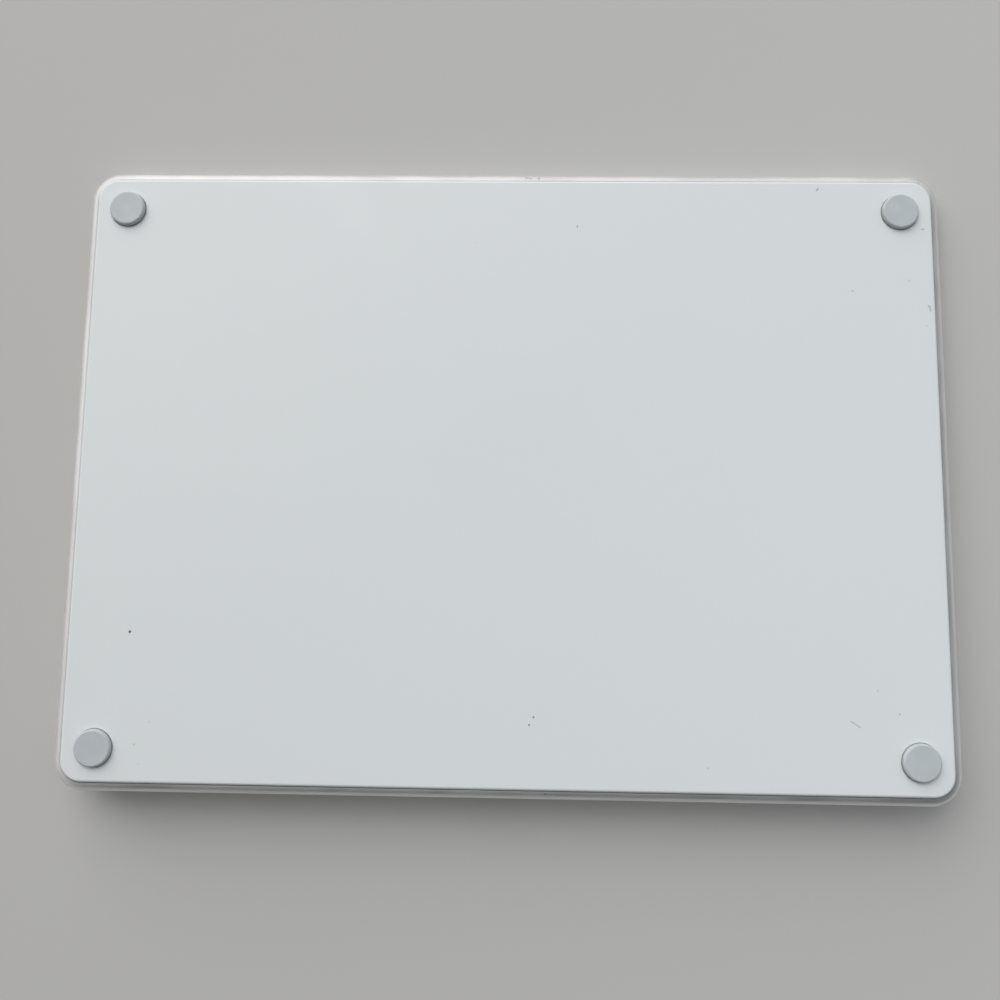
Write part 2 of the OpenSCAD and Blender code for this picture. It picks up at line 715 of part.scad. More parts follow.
// Two leaf springs at each end of the shuttle
module haptic_springs() color("steelblue") hung(0, haptic_y) for (sx = [-1, 1], sy = [-1, 1])
    translate([
        sx * (shuttle_w / 2 - part_gap) - spring_t / 2,
        sy * (shuttle_d + spring_len) / 2 - spring_len / 2,
        haptic_plate_t + clear
    ]) cube([spring_t, spring_len, core_t - 2 * clear]);

// Knob, the plate that keeps it in its slot and the prong that works the switch
module power_slider() color("silver") {
    forwards(knob_x, mouth_y, port_z, mouth_y - carrier_outer_y + carrier_t) stadium(knob_w, knob_t);
    forwards(knob_x, carrier_outer_y, port_z, carrier_t) rounded_rect(carrier_w, carrier_h, land / 2);
    forwards(knob_x, carrier_outer_y, port_z, carrier_t + clear + prong_len)
        square([prong_w, prong_t], center = true);
}

// Crescent beside the knob that shows in the slot when the pad is on
module on_indicator() color("limegreen")
    forwards(knob_x, carrier_outer_y + indicator_t, port_z, indicator_t) difference() {
        translate([-slider_travel, 0]) stadium(knob_w, knob_t);
        stadium(knob_w + 2 * fit, knob_t + 2 * fit);
    }

module switch_module() color("black") difference() {
    translate([slider_x - switch_w / 2, switch_rear_y - switch_d, board_top_z])
        cube([switch_w, switch_d, switch_h]);
    forwards(slider_x, switch_rear_y + cut, port_z, cut + prong_len + clear)
        square([prong_w + slider_travel + 2 * clear, prong_t + 2 * clear], center = true);
}

housing();
bottom_cover();
cover_adhesive();
top_glass();
glass_adhesive();
touch_sensor_board();
stiffener_plate();
strain_gauges();
flexure_screws();
logic_board();
board_screws();
processor_shield();
radio_shield();
board_connectors();
antenna();
charge_port_shell();
charge_port_insulator();
charge_port_contacts();
battery_cell();
battery_tape();
battery_guard_board();
battery_lead();
sensor_ribbon();
haptic_bracket();
haptic_cores();
haptic_coils();
haptic_shuttle();
haptic_springs();
power_slider();
on_indicator();
switch_module();
for (c = CORNERS) {
    foot(c);
    foot_stud(c);
    flexure(c);
}
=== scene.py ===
"""Looks of a wireless force-sensing trackpad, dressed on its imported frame.

The main camera looks at the underside of the pad, which lies with its glass on a pale floor. A second
floor lies under the feet and shows from above only. Lengths are in metres unless a name says mm.
"""
import logging
import math
from collections.abc import Callable
from dataclasses import dataclass
from enum import Enum

import bmesh
import bpy
from mathutils import Matrix, Vector


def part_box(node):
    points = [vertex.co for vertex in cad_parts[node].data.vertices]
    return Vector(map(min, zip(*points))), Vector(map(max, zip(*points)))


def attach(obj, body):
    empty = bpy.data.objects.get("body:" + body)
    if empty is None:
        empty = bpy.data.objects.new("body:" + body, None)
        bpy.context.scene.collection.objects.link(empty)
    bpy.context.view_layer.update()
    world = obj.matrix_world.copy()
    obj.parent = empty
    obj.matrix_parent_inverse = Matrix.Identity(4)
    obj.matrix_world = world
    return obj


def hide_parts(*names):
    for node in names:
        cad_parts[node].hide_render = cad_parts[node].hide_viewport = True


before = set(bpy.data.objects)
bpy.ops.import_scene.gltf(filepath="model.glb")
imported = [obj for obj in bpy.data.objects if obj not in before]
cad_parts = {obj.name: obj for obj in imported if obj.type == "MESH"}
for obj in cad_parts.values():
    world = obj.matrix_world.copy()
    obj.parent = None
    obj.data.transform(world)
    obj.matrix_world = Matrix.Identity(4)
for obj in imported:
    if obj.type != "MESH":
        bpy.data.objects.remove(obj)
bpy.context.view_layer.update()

LOG = logging.getLogger("trackpad")
MM = 0.001
SCREEN_WHITE = 255
SCREEN_TOE = 0.04045
SCREEN_TOE_SLOPE = 12.92
SCREEN_LIFT = 0.055
SCREEN_POWER = 2.4

Colour = tuple[float, float, float, float]
Point = tuple[float, float, float]
Socket = bpy.types.NodeSocket
Feed = Socket | float | Colour | Point


class Slot(Enum):
    """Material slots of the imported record."""

    ALUMINIUM = "anodised_aluminium"
    COVER = "white_cover"
    GLASS = "white_glass"
    RUBBER = "grey_rubber"
    BOND = "bond"
    STEEL = "steel"
    BOARD = "circuit_board"
    PLASTIC = "black_plastic"
    FOIL = "pouch_foil"
    COPPER = "copper"
    FILM = "ribbon_film"
    IRON = "iron"
    GREEN = "green_mark"


class Effect(Enum):
    """Surface effects that several finishes share."""

    GRAIN = "fine_grain"
    CLOUD = "soft_cloud"
    HAIRLINES = "hairline_scratches"
    SPECKS = "loose_specks"
    EDGES = "worn_edges"
    MARK = "single_mark"
    BANDS = "even_bands"


def paint(red: float, green: float, blue: float) -> Colour:
    """Turns a colour as a screen shows it into the linear colour that a shader takes.

    Args:
        red: Red from 0 to 255.
        green: Green from 0 to 255.
        blue: Blue from 0 to 255.

    Returns:
        The linear colour, opaque.
    """
    shares = [value / SCREEN_WHITE for value in (red, green, blue)]
    linear = [
        s / SCREEN_TOE_SLOPE if s <= SCREEN_TOE else ((s + SCREEN_LIFT) / (1 + SCREEN_LIFT)) ** SCREEN_POWER
        for s in shares
    ]
    return (*linear, 1.0)


class Wiring:
    """Adds and joins shader nodes in one node tree."""

    def __init__(self, tree: bpy.types.NodeTree) -> None:
        """Keeps the tree that the nodes go into."""
        self.tree = tree

    def feed(self, target: Socket, value: Feed) -> None:
        """Links a socket to the target, or sets a plain value on it."""
        if isinstance(value, bpy.types.NodeSocket):
            self.tree.links.new(value, target)
        else:
            target.default_value = value

    def node(
        self, kind: str, inputs: dict[str | int, Feed] | None = None, **settings: object
    ) -> bpy.types.Node:
        """Adds a node.

        Args:
            kind: The shader library's name for the kind of node.
            inputs: Values or sockets for its inputs, by name or by place.
            **settings: Properties of the node.

        Returns:
            The new node.
        """
        made = self.tree.nodes.new(kind)
        for name, value in settings.items():
            setattr(made, name, value)
        for key, value in (inputs or {}).items():
            self.feed(made.inputs[key], value)
        return made

    def place(self) -> Socket:
        """Gives the point of the surface in the frame of the pad."""
        return self.node("ShaderNodeTexCoord").outputs["Object"]

    def maths(self, operation: str, first: Feed, second: Feed = 0.0) -> Socket:
        """Works on one or two numbers.

        Args:
            operation: The shader library's name for the sum.
            first: First number.
            second: Second number, where the sum has one.

        Returns:
            The result.
        """
        return self.node("ShaderNodeMath", {0: first, 1: second}, operation=operation).outputs[0]

    def vector(self, operation: str, first: Feed, second: Feed = (0.0, 0.0, 0.0)) -> bpy.types.Node:
        """Works on one or two vectors.

        Args:
            operation: The shader library's name for the sum.
            first: First vector.
            second: Second vector, where the sum has one.

        Returns:
            The node, which gives a Vector or a Value.
        """
        return self.node("ShaderNodeVectorMath", {0: first, 1: second}, operation=operation)

    def scaled(self, vector: Feed, amount: Feed) -> Socket:
        """Multiplies a vector by a number."""
        made = self.node("ShaderNodeVectorMath", {0: vector, "Scale": amount}, operation="SCALE")
        return made.outputs["Vector"]

    def ramp(self, value: Feed, low: Feed, high: Feed, start: Feed = 0.0, end: Feed = 1.0) -> Socket:
        """Maps a number smoothly from one range to another.

        Args:
            value: The number.
            low: Where the range starts.
            high: Where the range ends.
            start: Result at low and before it.
            end: Result at high and after it.

        Returns:
            The mapped number.
        """
        inputs = {"Value": value, "From Min": low, "From Max": high, "To Min": start, "To Max": end}
        return self.node("ShaderNodeMapRange", inputs, interpolation_type="SMOOTHSTEP").outputs["Result"]

    def mix(self, amount: Feed, low: Feed, high: Feed) -> Socket:
        """Mixes two colours.

        Args:
            amount: Share of the second colour.
            low: First colour.
            high: Second colour.

        Returns:
            The mixed colour.
        """
        made = self.node("ShaderNodeMix", {"Factor": amount}, data_type="RGBA")
        colours = [socket for socket in made.inputs if socket.type == "RGBA"]
        self.feed(colours[0], low)
        self.feed(colours[1], high)
        return next(socket for socket in made.outputs if socket.type == "RGBA")

    def noise(self, size: Feed, detail: float, place: Socket | None = None) -> Socket:
        """Gives soft noise from 0 to 1.

        Args:
            size: Length of its largest waves.
            detail: How many finer waves are laid over them.
            place: Point to read it at, or the point of the surface.

        Returns:
            The noise.
        """
        inputs = {
            "Vector": place or self.place(),
            "Scale": self.maths("DIVIDE", 1.0, size),
            "Detail": detail,
        }
        return self.node("ShaderNodeTexNoise", inputs).outputs[0]


class EffectShelf:
    """Builds each shared effect once, as a node group, and places it in materials."""

    GRAIN_DETAIL = 2.0
    CLOUD_DETAIL = 1.5
    MOTTLE_MM = 0.7
    MOTTLE_DETAIL = 3.0
    MOTTLE_SHARE = 0.35
    NOISE_MIDDLE = 0.5
    HAIRLINE_STRETCH = (0.06, 1.0, 1.0)
    HAIRLINE_DETAIL = 2.0
    HAIRLINE_KEPT = (0.52, 0.66)
    SPECK_CORE = 0.4
    EDGE_SAMPLES = 4
    EDGE_AGREEMENT = (0.75, 0.99)
    EDGE_PATCH_MM = 2.0
    EDGE_DETAIL = 3.0
    MARK_DETAIL = 2.0
    MARK_LEAST = 0.1
    MARK_CORE = 0.5
    LEAST_SQUARE = MM * MM * MM

    def __init__(self) -> None:
        """Starts with no group built."""
        self._made: dict[Effect, bpy.types.NodeTree] = {}
        self._builders: dict[Effect, Callable[[], bpy.types.NodeTree]] = {
            Effect.GRAIN: self._grain,
            Effect.CLOUD: self._cloud,
            Effect.HAIRLINES: self._hairlines,
            Effect.SPECKS: self._specks,
            Effect.EDGES: self._edges,
            Effect.MARK: self._mark,
            Effect.BANDS: self._bands,
        }

    def use(self, wiring: Wiring, effect: Effect, **inputs: Feed) -> Socket:
        """Places an effect in a material.

        Args:
            wiring: Nodes of the material.
            effect: Which effect.
            **inputs: Values of the group's inputs.

        Returns:
            The first output of the group.
        """
        if effect not in self._made:
            self._made[effect] = self._builders[effect]()
        return wiring.node("ShaderNodeGroup", inputs, node_tree=self._made[effect]).outputs[0]

    @staticmethod
    def _open(effect: Effect, output: str, **inputs: float | Point) -> tuple[Wiring, dict, Socket]:
        """Starts a node group.

        Args:
            effect: Which effect the group is.
            output: Name of its output.
            **inputs: Its inputs, with their usual values.

        Returns:
            The nodes of the group, the sockets of its inputs by name, and its output.
        """
        tree = bpy.data.node_groups.new(effect.value, "ShaderNodeTree")
        for name, value in inputs.items():
            kind = "NodeSocketVector" if isinstance(value, tuple) else "NodeSocketFloat"
            tree.interface.new_socket(name, in_out="INPUT", socket_type=kind).default_value = value
        tree.interface.new_socket(output, in_out="OUTPUT", socket_type="NodeSocketFloat")
        wiring = Wiring(tree)
        given = wiring.node("NodeGroupInput").outputs
        wanted = wiring.node("NodeGroupOutput").inputs[output]
        return wiring, {name: given[name] for name in inputs}, wanted

    def _grain(self) -> bpy.types.NodeTree:
        """Builds the fine grain of a blasted, moulded or etched surface."""
        wiring, given, wanted = self._open(Effect.GRAIN, "Height", Size=0.3 * MM)
        wiring.feed(wanted, wiring.noise(given["Size"], self.GRAIN_DETAIL))
        return wiring.tree

    def _cloud(self) -> bpy.types.NodeTree:
        """Builds soft patches with ragged borders, such as handling marks and uneven tone."""
        wiring, given, wanted = self._open(Effect.CLOUD, "Mask", Size=20 * MM, Low=0.3, High=0.7)
        broad = wiring.noise(given["Size"], self.CLOUD_DETAIL)
        fine = wiring.noise(self.MOTTLE_MM * MM, self.MOTTLE_DETAIL)
        centred = wiring.maths("SUBTRACT", fine, self.NOISE_MIDDLE)
        patches = wiring.maths("ADD", broad, wiring.maths("MULTIPLY", centred, self.MOTTLE_SHARE))
        wiring.feed(wanted, wiring.ramp(patches, given["Low"], given["High"]))
        return wiring.tree

    def _hairlines(self) -> bpy.types.NodeTree:
        """Builds long thin scratches that run about one way."""
        wiring, given, wanted = self._open(
            Effect.HAIRLINES, "Mask", Spacing=6 * MM, Width=0.05 * MM, Turn=0.4
        )
        turned = wiring.node(
            "ShaderNodeVectorRotate",
            {"Vector": wiring.place(), "Angle": given["Turn"]},
            rotation_type="Z_AXIS",
        ).outputs["Vector"]
        drawn_out = wiring.vector("MULTIPLY", turned, self.HAIRLINE_STRETCH).outputs["Vector"]
        scale = wiring.maths("DIVIDE", 1.0, given["Spacing"])
        cells = wiring.node(
            "ShaderNodeTexVoronoi",
            {"Vector": drawn_out, "Scale": scale},
            feature="DISTANCE_TO_EDGE",
            voronoi_dimensions="2D",
        ).outputs["Distance"]
        share = wiring.maths("MULTIPLY", given["Width"], scale)
        line = wiring.ramp(cells, 0.0, share, 1.0, 0.0)
        kept = wiring.ramp(wiring.noise(given["Spacing"], self.HAIRLINE_DETAIL), *self.HAIRLINE_KEPT)
        wiring.feed(wanted, wiring.maths("MULTIPLY", line, kept))
        return wiring.tree

    def _specks(self) -> bpy.types.NodeTree:
        """Builds small scattered specks of dust or wear."""
        wiring, given, wanted = self._open(
            Effect.SPECKS, "Mask", Spacing=5 * MM, Width=0.2 * MM, Share=0.5
        )
        scale = wiring.maths("DIVIDE", 1.0, given["Spacing"])
        cells = wiring.node("ShaderNodeTexVoronoi", {"Vector": wiring.place(), "Scale": scale})
        reach = wiring.maths("MULTIPLY", given["Width"], scale)
        core = wiring.maths("MULTIPLY", reach, self.SPECK_CORE)
        speck = wiring.ramp(cells.outputs["Distance"], core, reach, 1.0, 0.0)
        draw = wiring.node("ShaderNodeSeparateColor", {"Color": cells.outputs["Color"]}).outputs[0]
        kept = wiring.maths("LESS_THAN", draw, given["Share"])
        wiring.feed(wanted, wiring.maths("MULTIPLY", speck, kept))
        return wiring.tree

    def _edges(self) -> bpy.types.NodeTree:
        """Builds the polish that handling leaves on outer edges."""
        wiring, given, wanted = self._open(Effect.EDGES, "Mask", Radius=0.3 * MM)
        eased = wiring.node(
            "ShaderNodeBevel", {"Radius": given["Radius"]}, samples=self.EDGE_SAMPLES
        ).outputs["Normal"]
        normal = wiring.node("ShaderNodeNewGeometry").outputs["Normal"]
        agree = wiring.vector("DOT_PRODUCT", eased, normal).outputs["Value"]
        worn = wiring.ramp(agree, *self.EDGE_AGREEMENT, 1.0, 0.0)
        patches = wiring.noise(self.EDGE_PATCH_MM * MM, self.EDGE_DETAIL)
        wiring.feed(wanted, wiring.maths("MULTIPLY", worn, patches))
        return wiring.tree

    def _mark(self) -> bpy.types.NodeTree:
        """Builds one ragged speck, or a scratch from one point to another."""
        zero = (0.0, 0.0, 0.0)
        wiring, given, wanted = self._open(Effect.MARK, "Mask", Start=zero, End=zero, Width=0.3 * MM)
        ragged = wiring.noise(given["Width"], self.MARK_DETAIL)
        along = wiring.vector("SUBTRACT", given["End"], given["Start"]).outputs["Vector"]
        out = wiring.vector("SUBTRACT", wiring.place(), given["Start"]).outputs["Vector"]
        square = wiring.vector("DOT_PRODUCT", along, along).outputs["Value"]
        reach = wiring.maths(
            "DIVIDE",
            wiring.vector("DOT_PRODUCT", out, along).outputs["Value"],
            wiring.maths("MAXIMUM", square, self.LEAST_SQUARE),
        )
        share = wiring.node("ShaderNodeClamp", {"Value": reach}).outputs[0]
        aside = wiring.vector("SUBTRACT", out, wiring.scaled(along, share)).outputs["Vector"]
        gap = wiring.vector("LENGTH", aside).outputs["Value"]
        edge = wiring.maths("MULTIPLY", given["Width"], wiring.maths("ADD", ragged, self.MARK_LEAST))
        core = wiring.maths("MULTIPLY", edge, self.MARK_CORE)
        wiring.feed(wanted, wiring.ramp(gap, core, edge, 1.0, 0.0))
        return wiring.tree

    def _bands(self) -> bpy.types.NodeTree:
        """Builds even bands across one direction, such as turns of wire or tracks."""
        wiring, given, wanted = self._open(Effect.BANDS, "Height", Across=(1.0, 0.0, 0.0), Pitch=0.3 * MM)
        along = wiring.vector("DOT_PRODUCT", wiring.place(), given["Across"]).outputs["Value"]
        turns = wiring.maths("DIVIDE", along, given["Pitch"])
        wave = wiring.maths("SINE", wiring.maths("MULTIPLY", turns, 2 * math.pi))
        wiring.feed(wanted, wiring.ramp(wave, -1.0, 1.0))
        return wiring.tree


@dataclass(frozen=True)
class Mark:
    """A speck or scratch on the underside, with its ends and width in mm.

    A speck starts and ends at the same point.
    """

    start: tuple[float, float]
    end: tuple[float, float]
    width: float
    strength: float


@dataclass(frozen=True)
class Finish:
    """A surface: its two tones, its gloss and its fine relief."""

    slot: Slot
    colour: Colour
    shade: Colour
    roughness: tuple[float, float]
    metallic: float = 0.0
    ior: float = 1.46
    cloud_mm: float = 20.0
    gloss_cloud_share: float = 0.6
    grain_mm: float = 0.35
    grain_height_mm: float = 0.004
    # Colour of dirt specks and marks, and of the painted shade in the grooves of banded finishes.
    grime_and_groove_shade: Colour = paint(70, 66, 60)
    speck_mm: float = 0.12
    speck_spacing_mm: float = 6.0
    speck_strength: float = 0.25
    scratch: float = 0.1

    def material(self, shelf: EffectShelf) -> bpy.types.Material:
        """Builds the finish as a material.

        Args:
            shelf: Where the shared effects come from.

        Returns:
            The material.
        """
        made = bpy.data.materials.new(self.slot.value + "_finish")
        made.use_nodes = True
        made.node_tree.nodes.clear()
        wiring = Wiring(made.node_tree)
        surface = wiring.node("ShaderNodeBsdfPrincipled", {"Metallic": self.metallic, "IOR": self.ior})
        bump = wiring.node("ShaderNodeBump", {"Height": self.relief(wiring, shelf), "Distance": MM})
        wiring.feed(surface.inputs["Base Color"], self.tint(wiring, shelf))
        wiring.feed(surface.inputs["Roughness"], self.gloss(wiring, shelf))
        wiring.feed(surface.inputs["Normal"], bump.outputs["Normal"])
        self.polish(surface)
        output = wiring.node("ShaderNodeOutputMaterial")
        wiring.feed(output.inputs["Surface"], surface.outputs[0])
        return made

    def tint(self, wiring: Wiring, shelf: EffectShelf) -> Socket:
        """Lays uneven tone and a few specks over the colour.

        Args:
            wiring: Nodes of the material.
            shelf: Where the shared effects come from.

        Returns:
            The colour of the surface.
        """
        patches = shelf.use(wiring, Effect.CLOUD, Size=self.cloud_mm * MM)
        even = wiring.mix(patches, self.colour, self.shade)
        specks = shelf.use(
            wiring, Effect.SPECKS, Spacing=self.speck_spacing_mm * MM, Width=self.speck_mm * MM
        )
        return wiring.mix(wiring.maths("MULTIPLY", specks, self.speck_strength), even, self.grime_and_groove_shade)

    def gloss(self, wiring: Wiring, shelf: EffectShelf) -> Socket:
        """Makes the gloss uneven where hands have been.

        Args:
            wiring: Nodes of the material.
            shelf: Where the shared effects come from.

        Returns:
            The roughness of the surface.
        """
        patches = shelf.use(wiring, Effect.CLOUD, Size=self.gloss_cloud_share * self.cloud_mm * MM)
        low, high = self.roughness
        even = wiring.ramp(patches, 0.0, 1.0, low, high)
        lines = shelf.use(wiring, Effect.HAIRLINES)
        return wiring.maths("ADD", even, wiring.maths("MULTIPLY", lines, self.scratch))

    def relief(self, wiring: Wiring, shelf: EffectShelf) -> Socket:
        """Gives the height of the fine grain, in mm.

        Args:
            wiring: Nodes of the material.
            shelf: Where the shared effects come from.

        Returns:
            The height.
        """
        grain = shelf.use(wiring, Effect.GRAIN, Size=self.grain_mm * MM)
        return wiring.maths("MULTIPLY", grain, self.grain_height_mm)

    def polish(self, surface: bpy.types.Node) -> None:
        """Sets what is the same all over the surface; a plain finish has nothing to set."""


@dataclass(frozen=True)
class MarkedFinish(Finish):
    """A finish of the underside that carries the specks and scratches of use."""

    marks: tuple[Mark, ...] = ()
    level_mm: float = 0.9

    def tint(self, wiring: Wiring, shelf: EffectShelf) -> Socket:
        """Lays the marks over the plain tint.

        Args:
            wiring: Nodes of the material.
            shelf: Where the shared effects come from.

        Returns:
            The colour of the surface.
        """
        colour = super().tint(wiring, shelf)
        for mark in self.marks:
            mask = shelf.use(
                wiring,
                Effect.MARK,
                Start=(mark.start[0] * MM, mark.start[1] * MM, self.level_mm * MM),
                End=(mark.end[0] * MM, mark.end[1] * MM, self.level_mm * MM),
                Width=mark.width * MM,
            )
            colour = wiring.mix(wiring.maths("MULTIPLY", mask, mark.strength), colour, self.grime_and_groove_shade)
        return colour


@dataclass(frozen=True)
class FootFinish(Finish):
    """Rubber whose side is darker towards the cover: painted shade where the foot meets the cover, with
    some dirt.
    """

    shade_and_dirt: Colour = paint(78, 74, 68)
    shade_and_dirt_from_mm: float = 0.6
    shade_and_dirt_to_mm: float = 0.9
    shade_and_dirt_share: float = 0.15

    def tint(self, wiring: Wiring, shelf: EffectShelf) -> Socket:
        """Lays painted shade, with some dirt, over the plain tint, darker towards the cover.

        Args:
            wiring: Nodes of the material.
            shelf: Where the shared effects come from.

        Returns:
            The colour of the surface.
        """
        height = wiring.node("ShaderNodeSeparateXYZ", {0: wiring.place()}).outputs["Z"]
        # Painted shade with some dirt: the side of the foot darkens towards the cover.
        base_shade_and_dirt = wiring.ramp(height, self.shade_and_dirt_from_mm * MM, self.shade_and_dirt_to_mm * MM, 0.0, self.shade_and_dirt_share)
        return wiring.mix(base_shade_and_dirt, super().tint(wiring, shelf), self.shade_and_dirt)


@dataclass(frozen=True)
class CoatedFinish(Finish):
    """A finish under a clear glossy layer."""

    coat: float = 0.3
    coat_roughness: float = 0.1

    def polish(self, surface: bpy.types.Node) -> None:
        """Sets the clear layer."""
        surface.inputs["Coat Weight"].default_value = self.coat
        surface.inputs["Coat Roughness"].default_value = self.coat_roughness


@dataclass(frozen=True)
class GlassFinish(CoatedFinish):
    """White-backed glass with a greyer ground edge, where the backing doesn't show."""

    edge: Colour = (0.58, 0.61, 0.61, 1.0)
    edge_from: float = 0.55
    edge_to: float = 0.97

    def tint(self, wiring: Wiring, shelf: EffectShelf) -> Socket:
        """Lays the grey of the edge over the plain tint.

        Args:
            wiring: Nodes of the material.
            shelf: Where the shared effects come from.

        Returns:
            The colour of the surface.
        """
        normal = wiring.node("ShaderNodeNewGeometry").outputs["Normal"]
        upright = wiring.node("ShaderNodeSeparateXYZ", {0: normal}).outputs["Z"]
        flat = wiring.ramp(wiring.maths("ABSOLUTE", upright), self.edge_from, self.edge_to)
        return wiring.mix(flat, self.edge, super().tint(wiring, shelf))


@dataclass(frozen=True)
class AnodisedFinish(MarkedFinish):
    """Blasted and anodised aluminium, a little brighter along its handled edges."""

    bright: Colour = paint(236, 236, 236)
    edge_mm: float = 0.25

    def tint(self, wiring: Wiring, shelf: EffectShelf) -> Socket:
        """Brightens the outer edges of the marked metal.

        Args:
            wiring: Nodes of the material.
            shelf: Where the shared effects come from.

        Returns:
            The colour of the surface.
        """
        edges = shelf.use(wiring, Effect.EDGES, Radius=self.edge_mm * MM)
        return wiring.mix(edges, super().tint(wiring, shelf), self.bright)


@dataclass(frozen=True)
class BandedFinish(Finish):
    """A finish with even bands: turns of wire, tracks in a film or the lines of rolled steel."""

    across: Point = (0.0, 1.0, 0.0)
    pitch_mm: float = 0.3
    band_height_mm: float = 0.05
    groove_shade_share: float = 0.5
    groove_to: float = 0.7
    edge_mm: float = 0.15
    edge_share: float = 0.5
    bright: Colour = paint(225, 220, 212)

    def bands(self, wiring: Wiring, shelf: EffectShelf) -> Socket:
        """Places the bands.

        Args:
            wiring: Nodes of the material.
            shelf: Where the shared effects come from.

        Returns:
            Their height from 0 to 1.
        """
        return shelf.use(wiring, Effect.BANDS, Across=self.across, Pitch=self.pitch_mm * MM)

    def tint(self, wiring: Wiring, shelf: EffectShelf) -> Socket:
        """Paints shade into the grooves between the bands and brightens the edges.

        Args:
            wiring: Nodes of the material.
            shelf: Where the shared effects come from.

        Returns:
            The colour of the surface.
        """
        # Painted shade: the grooves between the bands are darkened in colour.
        painted_groove_shade = wiring.ramp(self.bands(wiring, shelf), 0.0, self.groove_to, self.groove_shade_share, 0.0)
        plain = wiring.mix(painted_groove_shade, super().tint(wiring, shelf), self.grime_and_groove_shade)
        edges = shelf.use(wiring, Effect.EDGES, Radius=self.edge_mm * MM)
        return wiring.mix(wiring.maths("MULTIPLY", edges, self.edge_share), plain, self.bright)

    def relief(self, wiring: Wiring, shelf: EffectShelf) -> Socket:
        """Raises the bands above the fine grain.

        Args:
            wiring: Nodes of the material.
            shelf: Where the shared effects come from.

        Returns:
            The height in mm.
        """
        raised = wiring.maths("MULTIPLY", self.bands(wiring, shelf), self.band_height_mm)
        return wiring.maths("ADD", raised, super().relief(wiring, shelf))


COVER_MARKS = (
    Mark((-67.1, 29.4), (-67.1, 29.4), 0.5, 0.9),
    Mark((5.3, 43.2), (5.3, 43.2), 0.4, 0.7),
    Mark((4.55, 44.55), (4.55, 44.55), 0.42, 0.7),
    Mark((57.4, -54.3), (57.2, -54.0), 0.4, 0.4),
    Mark((63.2, -34.6), (63.2, -34.6), 0.4, 0.3),
    Mark((73.6, -36.7), (73.6, -36.7), 0.35, 0.25),
    Mark((76.6, -46.5), (76.35, -46.5), 0.35, 0.4),
    Mark((77.05, -31.9), (77.3, -31.0), 0.45, 0.3),
    Mark((65.35, 37.65), (65.35, 37.65), 0.3, 0.4),
    Mark((68.95, 41.65), (68.95, 41.65), 0.3, 0.5),
    Mark((60.5, 42.95), (62.1, 43.95), 0.25, 0.3),
    Mark((35.6, 51.3), (35.6, 51.3), 0.3, 0.45),
    Mark((12.6, -46.9), (12.6, -46.7), 0.3, 0.45),
    Mark((-65.1, 49.0), (-65.1, 49.0), 0.3, 0.3),
    Mark((-64.2, 52.4), (-64.2, 52.4), 0.25, 0.2),
    Mark((-62.7, 45.1), (-62.7, 45.1), 0.28, 0.25),
    Mark((-6.5, -43.6), (-6.5, -43.6), 0.25, 0.25),
    Mark((76.5, -28.1), (76.5, -28.1), 0.25, 0.3),
)
RIM_MARKS = (
    Mark((2.85, -56.65), (4.0, -56.4), 0.35, 0.3),
    Mark((5.35, -56.7), (5.35, -56.15), 0.35, 0.35),
    Mark((76.3, -55.8), (76.3, -55.8), 0.35, 0.5),
    Mark((72.15, 55.9), (72.15, 55.9), 0.3, 0.5),
    Mark((74.85, 56.0), (74.85, 56.0), 0.25, 0.4),
    Mark((-73.55, 56.15), (-73.55, 56.15), 0.3, 0.3),
    Mark((7.45, 56.3), (7.45, 56.3), 0.35, 0.4),
)

